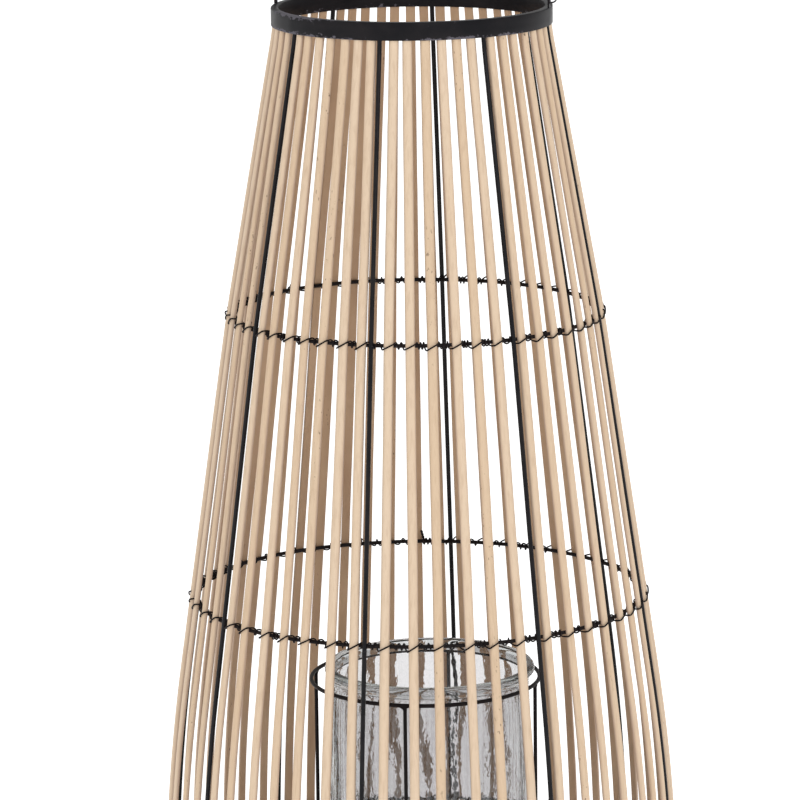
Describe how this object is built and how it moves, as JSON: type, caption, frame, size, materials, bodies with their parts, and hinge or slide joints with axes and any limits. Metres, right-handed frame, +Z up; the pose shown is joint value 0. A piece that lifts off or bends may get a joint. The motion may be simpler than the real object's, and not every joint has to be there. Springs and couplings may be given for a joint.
{
  "type": "bamboo stick lantern",
  "caption": "Tall tapering lantern: split bamboo canes bound to black wire rings between steel bands, with a candle glass in a wire cradle and a bail handle.",
  "frame": {"origin": "centre of the foot's ring on the floor", "axes": "+Z up along the lantern's axis; the handle's hinge line runs along X"},
  "size_m": [0.2972, 0.2975, 0.8623],
  "materials": {
    "cane": "natural split bamboo, unvarnished",
    "glass": "thick, hammered, faint grey",
    "binding_wire": "black annealed wire",
    "jump_ring_steel": "worn black over steel",
    "bail_steel": "satin black paint",
    "band_steel": "satin black paint, scuffed at the edges",
    "upright_steel": "gloss black paint",
    "ring_steel": "black paint"
  },
  "bodies": {
    "cage": {"top_band": "band_steel", "top_inner_band": "band_steel", "foot_band": "band_steel", "foot_inner_band": "band_steel", "upright_1": "upright_steel", "upright_2": "upright_steel", "upright_3": "upright_steel", "upright_4": "upright_steel", "upright_5": "upright_steel", "upright_6": "upright_steel", "upright_7": "upright_steel", "upright_8": "upright_steel", "cane_bay_1": "cane", "cane_bay_2": "cane", "cane_bay_3": "cane", "cane_bay_4": "cane", "cane_bay_5": "cane", "cane_bay_6": "cane", "cane_bay_7": "cane", "cane_bay_8": "cane", "upper_ring": "ring_steel", "middle_ring": "ring_steel", "lower_ring": "ring_steel", "upper_binding": "binding_wire", "middle_binding": "binding_wire", "lower_binding": "binding_wire", "base_bar_x": "ring_steel", "base_bar_y": "ring_steel", "cradle_ring": "ring_steel", "cradle_plate": "ring_steel", "cradle_bar_1": "ring_steel", "cradle_bar_2": "ring_steel", "cradle_bar_3": "ring_steel", "cradle_bar_4": "ring_steel", "handle_lug_right": "band_steel", "handle_lug_left": "band_steel"},
    "glass": {"glass": "glass"},
    "handle": {"bail": "bail_steel", "jump_ring_right": "jump_ring_steel", "jump_ring_left": "jump_ring_steel"}
  },
  "joints": [
    {"name": "bail_swing", "type": "hinge", "parent": "cage", "child": "handle", "pos_m": [0, 0, 0.6632], "axis": [1, 0, 0], "range_deg": [-90, 90]},
    {"name": "glass_lift", "type": "slide", "parent": "cage", "child": "glass", "axis": [0, 0, 1], "range_m": [0, 0.53]}
  ]
}
